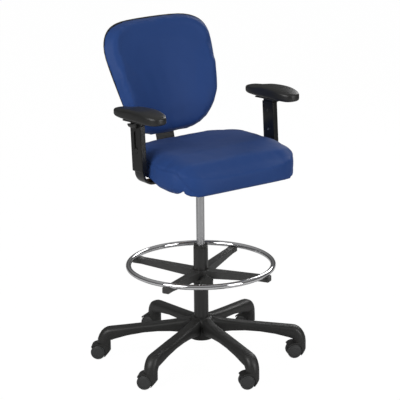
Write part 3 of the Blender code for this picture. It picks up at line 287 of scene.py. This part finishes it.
# two crossing sets of yarns, a little uneven
def buildWeaveGroup():
    tree, feed, out = openGroup("wovenCloth", [("Scale", 1.0)], ["Height", "Tone"])
    coords = tree.nodes.new("ShaderNodeTexCoord").outputs["Object"]
    yarns = []
    for turn in ((0.3, 0.1, 0.78), (-0.2, 0.5, -0.78)):
        aim = tree.nodes.new("ShaderNodeMapping")
        aim.inputs["Rotation"].default_value = turn
        tree.links.new(coords, aim.inputs["Vector"])
        wave = tree.nodes.new("ShaderNodeTexWave")
        wave.inputs["Distortion"].default_value = 1.6
        wave.inputs["Detail"].default_value = 1.0
        tree.links.new(mathNode(tree, "MULTIPLY", feed.outputs["Scale"], 330.0), wave.inputs["Scale"])
        tree.links.new(aim.outputs[0], wave.inputs["Vector"])
        yarns.append(wave.outputs["Fac"])
    tree.links.new(mathNode(tree, "MAXIMUM", *yarns), out.inputs["Height"])
    slub = noiseNode(tree, coords, 9.0, 5.0)
    fleck = noiseNode(tree, coords, mathNode(tree, "MULTIPLY", feed.outputs["Scale"], 420.0), 2.0)
    slub, fleck = mathNode(tree, "MULTIPLY", slub, 0.65), mathNode(tree, "MULTIPLY", fleck, 0.35)
    tree.links.new(mathNode(tree, "ADD", slub, fleck), out.inputs["Tone"])
    return tree


# long fine scratches along the tube or bar
def buildBrushedGroup():
    tree, feed, out = openGroup("brushedMetal", [("Scale", 200.0)], ["Height", "Tone"])
    coords = tree.nodes.new("ShaderNodeTexCoord").outputs["Object"]
    aim = tree.nodes.new("ShaderNodeMapping")
    aim.inputs["Scale"].default_value = (1.0, 1.0, 0.12)
    tree.links.new(coords, aim.inputs["Vector"])
    lines = noiseNode(tree, aim.outputs[0], feed.outputs["Scale"], 6.0, 0.7)
    tree.links.new(lines, out.inputs["Height"])
    patch = mathNode(tree, "MULTIPLY", noiseNode(tree, coords, 22.0), 0.5)
    tone = mathNode(tree, "ADD", mathNode(tree, "MULTIPLY", lines, 0.5), patch)
    tree.links.new(tone, out.inputs["Tone"])
    return tree


# thin veneers seen edge-on, stacked in Z
def buildPlyGroup():
    tree, feed, out = openGroup("plyEdge", [("Scale", 1.0)], ["Height", "Tone"])
    coords = tree.nodes.new("ShaderNodeTexCoord").outputs["Object"]
    layers = tree.nodes.new("ShaderNodeTexWave")
    layers.bands_direction = "Z"
    layers.inputs["Distortion"].default_value = 0.6
    tree.links.new(mathNode(tree, "MULTIPLY", feed.outputs["Scale"], 115.0), layers.inputs["Scale"])
    tree.links.new(coords, layers.inputs["Vector"])
    aim = tree.nodes.new("ShaderNodeMapping")
    aim.inputs["Scale"].default_value = (40.0, 3.0, 40.0)
    tree.links.new(coords, aim.inputs["Vector"])
    fibre = noiseNode(tree, aim.outputs[0], 6.0, 5.0)
    tree.links.new(fibre, out.inputs["Height"])
    bands = mathNode(tree, "MULTIPLY", layers.outputs["Fac"], 0.5)
    tone = mathNode(tree, "ADD", bands, mathNode(tree, "MULTIPLY", fibre, 0.5))
    tree.links.new(tone, out.inputs["Tone"])
    return tree


# rubbed edges and dust that settles on upward-facing faces
def buildWearGroup():
    tree, feed, out = openGroup("edgeWear", [("Amount", 0.3)], ["Edge", "Dust"])
    shape = tree.nodes.new("ShaderNodeNewGeometry")
    coords = tree.nodes.new("ShaderNodeTexCoord").outputs["Object"]
    ridge = tree.nodes.new("ShaderNodeMapRange")
    ridge.inputs["From Min"].default_value = 0.53
    ridge.inputs["From Max"].default_value = 0.62
    tree.links.new(shape.outputs["Pointiness"], ridge.inputs["Value"])
    patch = noiseNode(tree, coords, 60.0, 5.0, 0.65)
    patch = mathNode(tree, "MULTIPLY", patch, feed.outputs["Amount"])
    edge = mathNode(tree, "MULTIPLY", ridge.outputs["Result"], patch)
    tree.links.new(edge, out.inputs["Edge"])
    facing = tree.nodes.new("ShaderNodeSeparateXYZ")
    tree.links.new(shape.outputs["Normal"], facing.inputs[0])
    up = mathNode(tree, "MAXIMUM", facing.outputs["Z"], 0.0)
    up = mathNode(tree, "MULTIPLY", up, noiseNode(tree, coords, 35.0, 6.0, 0.7))
    tree.links.new(mathNode(tree, "MULTIPLY", up, feed.outputs["Amount"]), out.inputs["Dust"])
    return tree


grainGroups = {
    "mould": buildMouldGroup(),
    "weave": buildWeaveGroup(),
    "brushed": buildBrushedGroup(),
    "ply": buildPlyGroup(),
}
wearGroup = buildWearGroup()


def mixColour(tree, share, first, second):
    node = tree.nodes.new("ShaderNodeMix")
    node.data_type = "RGBA"
    tree.links.new(share, node.inputs[0])
    for socket, value in ((node.inputs[6], first), (node.inputs[7], second)):
        if isinstance(value, tuple):
            socket.default_value = (*value, 1.0)
        else:
            tree.links.new(value, socket)
    return node.outputs[2]


def makeFinish(name):
    look = finishes[name]
    made = bpy.data.materials.new(name)
    made.use_nodes = True
    tree = made.node_tree
    shader = tree.nodes["Principled BSDF"]
    shader.inputs["Metallic"].default_value = look.get("metal", 0.0)
    shader.inputs["Specular IOR Level"].default_value = look["specular"]
    shader.inputs["Coat Weight"].default_value = look.get("coat", 0.0)
    shader.inputs["Coat Roughness"].default_value = 0.15
    shader.inputs["Sheen Weight"].default_value = look.get("sheen", 0.0)
    shader.inputs["Sheen Roughness"].default_value = 0.45
    grain = tree.nodes.new("ShaderNodeGroup")
    grain.node_tree = grainGroups[look["grain"]]
    grain.inputs["Scale"].default_value = look["scale"]
    wear = tree.nodes.new("ShaderNodeGroup")
    wear.node_tree = wearGroup
    wear.inputs["Amount"].default_value = look["wear"]
    colour = mixColour(tree, grain.outputs["Tone"], look["colour"], look["light"])
    rubbed = tuple(min(1.0, 2.2 * part + 0.012) for part in look["light"])
    colour = mixColour(tree, wear.outputs["Edge"], colour, rubbed)
    dusty = tuple(0.6 * part + 0.035 for part in look["light"])
    colour = mixColour(tree, mathNode(tree, "MULTIPLY", wear.outputs["Dust"], 0.5), colour, dusty)
    tree.links.new(colour, shader.inputs["Base Color"])
    rough = mathNode(tree, "MULTIPLY", grain.outputs["Tone"], 0.16)
    rough = mathNode(tree, "ADD", rough, look["rough"] - 0.08)
    rough = mathNode(tree, "ADD", rough, mathNode(tree, "MULTIPLY", wear.outputs["Dust"], 0.3), clamp=True)
    tree.links.new(rough, shader.inputs["Roughness"])
    bump = tree.nodes.new("ShaderNodeBump")
    bump.inputs["Strength"].default_value = look["depth"]
    bump.inputs["Distance"].default_value = 0.0004
    tree.links.new(grain.outputs["Height"], bump.inputs["Height"])
    tree.links.new(bump.outputs["Normal"], shader.inputs["Normal"])
    return made


paints = {name: makeFinish(name) for name in finishes}
print("finishes ready:", len(paints))


# building blocks
def addPiece(name, bm, body, paint, smoothAngle=35.0):
    bmesh.ops.remove_doubles(bm, verts=bm.verts, dist=1e-6)
    mesh = bpy.data.meshes.new(name)
    bm.to_mesh(mesh)
    bm.free()
    mesh.shade_smooth()
    mesh.set_sharp_from_angle(angle=radians(smoothAngle))
    piece = bpy.data.objects.new(name, mesh)
    scene.collection.objects.link(piece)
    mesh.materials.append(paints[paint])
    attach(piece, body)
    return piece


def cadCopy(node):
    bm = bmesh.new()
    bm.from_mesh(nodes[node].data)
    bmesh.ops.remove_doubles(bm, verts=bm.verts, dist=2e-5)
    return bm


def paintNode(node, paint):
    nodes[node].data.materials.clear()
    nodes[node].data.materials.append(paints[paint])


# the node's own shape with its sharp edges rounded over
def soften(node, paint, width, segments=2, smoothAngle=35.0, levels=0):
    bm = cadCopy(node)
    bmesh.ops.dissolve_limit(bm, angle_limit=radians(0.6), verts=bm.verts, edges=bm.edges)
    words = node.split("_")
    name = words[0] + "".join(word.capitalize() for word in words[1:])
    piece = addPiece(name, bm, nodes[node]["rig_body"], paint, smoothAngle)
    rounder = piece.modifiers.new("edges", "BEVEL")
    rounder.width = width
    rounder.segments = segments
    rounder.limit_method = "ANGLE"
    rounder.angle_limit = radians(smoothAngle)
    rounder.harden_normals = True
    if levels:
        finer = piece.modifiers.new("finer", "SUBSURF")
        finer.levels = finer.render_levels = levels
    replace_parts(piece, node)
    return piece


# a profile of (radius, height) pairs spun about Z
def spunMesh(profile, steps=48, closed=False):
    bm = bmesh.new()
    points = [bm.verts.new((radius, 0, height)) for radius, height in profile]
    runs = list(zip(points, points[1:]))
    if closed:
        runs.append((points[-1], points[0]))
    edges = [bm.edges.new(run) for run in runs]
    bmesh.ops.spin(bm, geom=points + edges, cent=(0, 0, 0), axis=(0, 0, 1), dvec=(0, 0, 0),
                   angle=2 * pi, steps=steps, use_merge=True)
    bmesh.ops.remove_doubles(bm, verts=bm.verts, dist=1e-6)
    bmesh.ops.recalc_face_normals(bm, faces=bm.faces)
    return bm


def onColumn(bm):
    bmesh.ops.translate(bm, vec=column, verts=bm.verts)
    return bm


def standOn(bm, place, direction):
    turn = Vector(direction).to_track_quat("Z", "Y").to_matrix().to_4x4()
    bmesh.ops.transform(bm, matrix=Matrix.Translation(place) @ turn, verts=bm.verts)
    return bm


# round socket screw head, sunk a little into what it holds
def addScrew(name, place, direction, radius, rise):
    sunk, crown = 0.0012, radius * 0.86
    bm = bmesh.new()
    bmesh.ops.create_cone(bm, cap_ends=True, segments=24, radius1=radius, radius2=crown, depth=rise + sunk)
    bmesh.ops.translate(bm, vec=(0, 0, (rise - sunk) / 2), verts=bm.verts)
    top = max(bm.faces, key=lambda face: face.calc_center_median().z)
    bmesh.ops.inset_individual(bm, faces=[top], thickness=radius * 0.38, depth=0.0)
    bmesh.ops.inset_individual(bm, faces=[top], thickness=radius * 0.04, depth=-rise * 0.8)
    addPiece(name, standOn(bm, place, direction), "seat", "groundSteel", 30.0)


def easeStep(low, high, value):
    share = min(1.0, max(0.0, (value - low) / (high - low)))
    return share * share * (3 - 2 * share)


# upholstery
cushionLook = {"voxel": 0.0055, "pressure": 4.0, "frames": 20}


def inflate(piece, cap):
    remesh = piece.modifiers.new("even", "REMESH")
    remesh.mode = "VOXEL"
    remesh.voxel_size = cushionLook["voxel"]
    bpy.context.view_layer.objects.active = piece
    for other in bpy.context.selected_objects:
        other.select_set(False)
    piece.select_set(True)
    bpy.ops.object.modifier_apply(modifier=remesh.name)
    start = [vert.co.copy() for vert in piece.data.vertices]
    cloth = piece.modifiers.new("filled", "CLOTH")
    cloth.settings.use_pressure = True
    cloth.settings.uniform_pressure_force = cushionLook["pressure"]
    cloth.settings.effector_weights.gravity = 0
    cloth.settings.quality = 4
    cloth.settings.tension_stiffness = 25
    cloth.settings.compression_stiffness = 25
    cloth.settings.bending_stiffness = 1.5
    cloth.point_cache.frame_end = cushionLook["frames"]
    for number in range(1, cushionLook["frames"] + 1):
        scene.frame_set(number)
    bpy.ops.object.modifier_apply(modifier=cloth.name)
    scene.frame_set(1)
    for vert, before in zip(piece.data.vertices, start):
        step = vert.co - before
        most = cap(before)
        if step.length > most:
            vert.co = before + step * (most / step.length)
    relax(piece, 4, lambda spot: True)


# smooths the part of a cover that the test picks out
def relax(piece, rounds, picked):
    bm = bmesh.new()
    bm.from_mesh(piece.data)
    chosen = [vert for vert in bm.verts if picked(vert.co)]
    for _ in range(rounds):
        bmesh.ops.smooth_vert(bm, verts=chosen, factor=0.5, use_axis_x=True, use_axis_y=True, use_axis_z=True)
    bm.to_mesh(piece.data)
    bm.free()


def finishCushion(piece):
    piece.data.shade_smooth()
    finer = piece.modifiers.new("finer", "SUBSURF")
    finer.levels = finer.render_levels = 1


seatLook = {
    "edgeDrop": 0.016, "rearDrop": 0.006, "frontDrop": 0.017, "seamHeight": 0.745, "seamDepth": 0.0050,
    "seamWidth": 0.0032, "bulge": 0.008, "tuck": 0.026, "lipStart": -0.040, "lipRise": 0.001,
    "lipHeight": 0.035, "lipRounds": 9, "dipDepth": 0.004, "wrinkle": 0.0011, "pucker": 0.0005,
}


def makeSeatCushion():
    low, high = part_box("seat_cushion")
    boardLow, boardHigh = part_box("seat_board")
    board, boardHalf, faceY = boardHigh.z, (boardHigh.x - boardLow.x) / 2, boardLow.y - 0.0015
    half, front, rear, centreX = (high.x - low.x) / 2, low.y, high.y, (low.x + high.x) / 2
    bm = cadCopy("seat_cushion")
    piece = addPiece("seatCushion", bm, "seat", "blueCloth")

    def capAt(spot):
        if spot.z < board + 0.006 and spot.y > front + 0.06:
            return 0.0
        return 0.003 + 0.004 * easeStep(board, high.z, spot.z)

    inflate(piece, capAt)
    # beside the board the cover runs down to the front roll
    lipTop, lowest = board + seatLook["lipHeight"], low.z + seatLook["lipRise"]
    for vert in piece.data.vertices:
        co = vert.co
        if abs(co.x - centreX) > boardHalf + 0.001 and faceY - 0.002 < co.y and co.z < lipTop:
            drop = board + (lowest - board) * easeStep(seatLook["lipStart"], faceY + 0.016, co.y)
            share = max(0.0, (co.z - board) / seatLook["lipHeight"])
            co.z = drop + share * (lipTop - drop)

    def nearLip(spot):
        return abs(spot.x - centreX) > boardHalf - 0.012 and spot.y < -0.06 and spot.z < board + 0.04

    relax(piece, seatLook["lipRounds"], nearLip)
    piece.data.update()
    normals = [vert.normal.copy() for vert in piece.data.vertices]
    middle = board - 0.004
    for vert, out in zip(piece.data.vertices, normals):
        co = vert.co
        over = easeStep(board + 0.015, high.z - 0.008, co.z)
        across = co.x - centreX
        side = easeStep(0.62, 1.0, abs(across) / half)
        ahead = easeStep(-0.10, faceY - 0.01, co.y)
        co.z -= over * (seatLook["edgeDrop"] * side ** 2 + seatLook["rearDrop"] * easeStep(-0.02, rear, co.y))
        co.z -= seatLook["frontDrop"] * over * easeStep(front + 0.075, front, co.y)
        dip = exp(-((co.y - rear + 0.13) / 0.10) ** 2) * exp(-(across / 0.13) ** 2)
        co.z -= seatLook["dipDepth"] * over * dip
        belly = seatLook["bulge"] * exp(-((co.z - middle - 0.012) / 0.030) ** 2)
        belly -= seatLook["tuck"] * easeStep(middle - 0.004, low.z, co.z)
        co.x += belly * ahead * easeStep(0.86, 0.97, abs(across) / half) * (1 if across > 0 else -1)
        bend = seatLook["wrinkle"] * noise.noise(co * 9.0) + seatLook["pucker"] * noise.noise(co * 28.0)
        co += out * bend * (0.3 + 0.7 * over)
        line = seatLook["seamHeight"] - 0.075 * easeStep(front + 0.085, front + 0.004, co.y)
        if abs(out.x) > 0.25 and co.y < rear - 0.02:
            pinch = exp(-((co.z - line) / seatLook["seamWidth"]) ** 2) * easeStep(0.25, 0.6, abs(out.x))
            co -= out * seatLook["seamDepth"] * pinch
    finishCushion(piece)
    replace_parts(piece, "seat_cushion")


backLook = {"coverWide": 0.046, "coverHigh": 0.034, "coverLow": 0.066, "lumbar": 0.005}


def makeBackCushion():
    bm = cadCopy("back_cushion")
    low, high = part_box("back_cushion")
    piece = addPiece("backCushion", bm, "backrest", "blueCloth")
    lean = Vector(jointOf["back_height"]["axis"])
    ahead = Vector((0, -lean.z, lean.y))
    inflate(piece, lambda spot: 0.004)
    centre = (low + high) / 2
    piece.data.update()
    normals = [vert.normal.copy() for vert in piece.data.vertices]
    for vert, out in zip(piece.data.vertices, normals):
        co = vert.co
        rel = co - centre
        stretch = backLook["coverHigh"] if rel.dot(lean) > 0 else backLook["coverLow"]
        co += Vector((rel.x * backLook["coverWide"], 0, 0)) + lean * rel.dot(lean) * stretch
        up, facing = rel.dot(lean) / 0.2, max(0.0, out.dot(ahead))
        lumbar = exp(-((up + 0.35) / 0.45) ** 2) * exp(-(rel.x / 0.14) ** 2)
        co += ahead * backLook["lumbar"] * lumbar * facing
        co += out * (0.0009 * noise.noise(co * 8.0) + 0.0004 * noise.noise(co * 25.0))
    finishCushion(piece)
    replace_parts(piece, "back_cushion")


makeSeatCushion()
makeBackCushion()
print("cushions filled")


# arm pads: broad drooping front, narrow rear, waisted underside
padLook = {
    "cuts": 9, "plan": 2.7, "section": 5.0, "frontHalf": 0.0455, "rearHalf": 0.035, "crown": 0.005,
    "frontDroop": 0.008, "rearDroop": 0.003, "saddle": 0.003, "fatness": 1.12, "rearThin": 0.14,
    "frontThin": 0.06,
}


def makeArmPad(side):
    node = side + "_arm_pad"
    low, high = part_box(node)
    axis = Vector(jointOf[side + "_arm_height"]["axis"])
    slope = axis.y / axis.z
    centre, half = (low + high) / 2, (high - low) / 2
    thick = (high.z - low.z - 2 * half.y * slope) / 2
    bm = bmesh.new()
    bmesh.ops.create_cube(bm, size=2.0)
    bmesh.ops.subdivide_edges(bm, edges=bm.edges, cuts=padLook["cuts"], use_grid_fill=True)
    plan, section = padLook["plan"], padLook["section"]
    for vert in bm.verts:
        a, b, c = vert.co
        size = ((abs(a) ** plan + abs(b) ** plan) ** (section / plan) + abs(c) ** section) ** (1 / section)
        a, b, c = a / size, b / size, c / size
        width = padLook["frontHalf"] + (padLook["rearHalf"] - padLook["frontHalf"]) * easeStep(-1.0, 1.1, b)
        rise = c * thick
        if c > 0:
            rearThin, frontThin = easeStep(0.2, 1.0, b), easeStep(-0.5, -1.0, b)
            rise *= padLook["fatness"] - padLook["rearThin"] * rearThin - padLook["frontThin"] * frontThin
            rise += padLook["crown"] * (1 - b * b) * (1 - a * a)
            rise -= padLook["saddle"] * exp(-((b - 0.5) / 0.26) ** 2)
            rise -= padLook["rearDroop"] * easeStep(0.1, 0.6, b)
        rise -= padLook["frontDroop"] * easeStep(-0.3, -1.0, b)
        y = centre.y + b * half.y
        vert.co = Vector((centre.x + a * width, y, centre.z - slope * (y - centre.y) + rise))
    bmesh.ops.recalc_face_normals(bm, faces=bm.faces)
    piece = addPiece(side + "ArmPad", bm, side + "_pad", "softBlack", 180.0)
    finer = piece.modifiers.new("finer", "SUBSURF")
    finer.levels = finer.render_levels = 2
    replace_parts(piece, node)


def makeArmDetails(side):
    out = 1 if side == "left" else -1
    low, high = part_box(side + "_arm_sleeve")
    inner = low.x if out > 0 else high.x
    axis = Vector(jointOf[side + "_arm_height"]["axis"])
    middle = Vector((inner, (low.y + high.y) / 2, (low.z + high.z) / 2))
    button = bmesh.new()
    bmesh.ops.create_cone(button, cap_ends=True, segments=32, radius1=0.0062, radius2=0.0056, depth=0.002)
    standOn(button, middle + axis * 0.046, (-out, 0, 0))
    addPiece(side + "ArmButton", button, "seat", "blackNylon", 30.0)
    addScrew(side + "ArmScrew", middle - axis * 0.018, (-out, 0, 0), 0.0042, 0.0016)
    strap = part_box(side + "_arm_bracket")[0]
    for number, near in enumerate((0.112, 0.142)):
        place = column + Vector((out * near, -0.044, strap.z))
        addScrew(f"{side}BracketBolt{number + 1}", place, (0, 0, -1), 0.0065, 0.0035)


for side in ("left", "right"):
    makeArmPad(side)
    makeArmDetails(side)
    soften(side + "_arm_sleeve", "glossBlack", 0.0012)
    soften(side + "_arm_post", "glossBlack", 0.0010)
    soften(side + "_arm_release", "blackNylon", 0.0008)
    soften(side + "_arm_pad_plate", "blackNylon", 0.0010)
    soften(side + "_arm_bracket", "glossBlack", 0.0012)
print("arms done")


# casters
wheelProfile = [
    (0.0, 0.0066), (0.0120, 0.0066), (0.0196, 0.0063), (0.0204, 0.0058), (0.0212, 0.0062), (0.0218, 0.0070),
    (0.0230, 0.0068), (0.0243, 0.0055), (0.0250, 0.0035),
    (0.0250, -0.0035), (0.0243, -0.0055), (0.0228, -0.0068), (0.0205, -0.0071), (0.0180, -0.0066),
    (0.0120, -0.0066), (0.0100, -0.0071), (0.0, -0.0071),
]


def makeWheel(number, side):
    node = f"caster_{number}_wheel_{side}"
    joint = jointOf[f"caster_{number}_spin_{side}"]
    low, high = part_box(node)
    axis, hub = Vector(joint["axis"]), Vector(joint["pos_m"])
    shift = ((low + high) / 2 - hub).dot(axis)
    bm = standOn(spunMesh(wheelProfile, 40), hub + axis * shift, axis * (1 if shift > 0 else -1))
    name, body = f"caster{number}Wheel{side.upper()}", nodes[node]["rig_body"]
    piece = addPiece(name, bm, body, "wheelNylon", 50.0)
    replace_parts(piece, node)


for number in range(1, 7):
    soften(f"caster_{number}_hood", "blackNylon", 0.0003, 2, 50.0)
    for side in ("a", "b"):
        makeWheel(number, side)
    paintNode(f"caster_{number}_stem", "groundSteel")
print("casters done")


# base and column
baseLook = {"edge": 0.0035, "columnWall": 0.002, "gasWall": 0.0022, "rodHole": 0.0058, "pinHole": 0.0040}


# a spun tube that takes the place of a node
def addTube(node, name, profile, body, paint):
    tube = addPiece(name, onColumn(spunMesh(profile, 64, True)), body, paint, 40.0)
    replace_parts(tube, node)


def makeColumnTube():
    low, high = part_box("column_tube")
    radius, top, bottom = (high.x - low.x) / 2, high.z, low.z
    inside = radius - baseLook["columnWall"]
    profile = [
        (inside, bottom + 0.004), (radius - 0.001, bottom), (radius, bottom + 0.001), (radius, top - 0.0008),
        (radius - 0.0008, top), (inside + 0.0003, top), (inside, top - 0.0005),
    ]
    addTube("column_tube", "columnTube", profile, "base", "powderBlack")


def makePressureTube():
    low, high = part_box("pressure_tube")
    radius, top, bottom = (high.x - low.x) / 2, high.z, low.z
    inside, rod, pin, edge = radius - baseLook["gasWall"], baseLook["rodHole"], baseLook["pinHole"], 0.0015
    profile = [
        (rod, bottom + edge), (radius - edge, bottom), (radius, bottom + edge), (radius, top - edge),
        (radius - edge, top), (pin, top), (pin, top - 0.01), (inside, top - 0.012),
        (inside, bottom + 0.004), (rod, bottom + 0.004),
    ]
    addTube("pressure_tube", "pressureTube", profile, "lift", "tubeChrome")


soften("base_star", "blackNylon", baseLook["edge"], 3, 55.0)
makeColumnTube()
makePressureTube()
soften("column_bush", "blackNylon", 0.0006)
print("base done")


# foot ring
def makeFootRing():
    low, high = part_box("foot_ring")
    tube = (high.z - low.z) / 2
    radius, height, sides = (high.x - low.x) / 2 - tube, (low.z + high.z) / 2, 20
    turns = [2 * pi * number / sides for number in range(sides)]
    section = [(radius + tube * cos(turn), height + tube * sin(turn)) for turn in turns]
    hoop = onColumn(spunMesh(section, 144, True))
    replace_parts(addPiece("footRing", hoop, "ring", "mirrorChrome", 180.0), "foot_ring")


makeFootRing()
soften("foot_ring_spider", "spiderBlack", 0.0016, 3, 32.0)
soften("foot_ring_liner", "blackNylon", 0.0006)
soften("foot_ring_knob", "blackNylon", 0.0008)
print("foot ring done")


# back and mechanism
soften("back_shell", "blackNylon", 0.0015, 2, 50.0, 1)
soften("back_carrier", "blackNylon", 0.0012)
soften("back_bar", "powderBlack", 0.0014, 2, 40.0)
soften("control_housing", "powderBlack", 0.0012)
soften("seat_plate", "powderBlack", 0.0008)
soften("height_lever", "powderBlack", 0.0008)
soften("tension_knob", "blackNylon", 0.0007)
soften("tilt_lever", "blackNylon", 0.0008)
soften("seat_board", "plywood", 0.0012)


def addPlateBolts():
    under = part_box("seat_plate")[1].z - 0.0037
    for number, (x, y) in enumerate(((-0.068, -0.112), (0.068, -0.112), (-0.068, 0.092), (0.068, 0.092))):
        addScrew(f"plateBolt{number + 1}", column + Vector((x, y, under)), (0, 0, -1), 0.0065, 0.0035)


addPlateBolts()
for node in ("thrust_bearing", "piston_rod", "retaining_clip", "valve_pin", "tilt_axle"):
    paintNode(node, "groundSteel")
print("mechanism done")
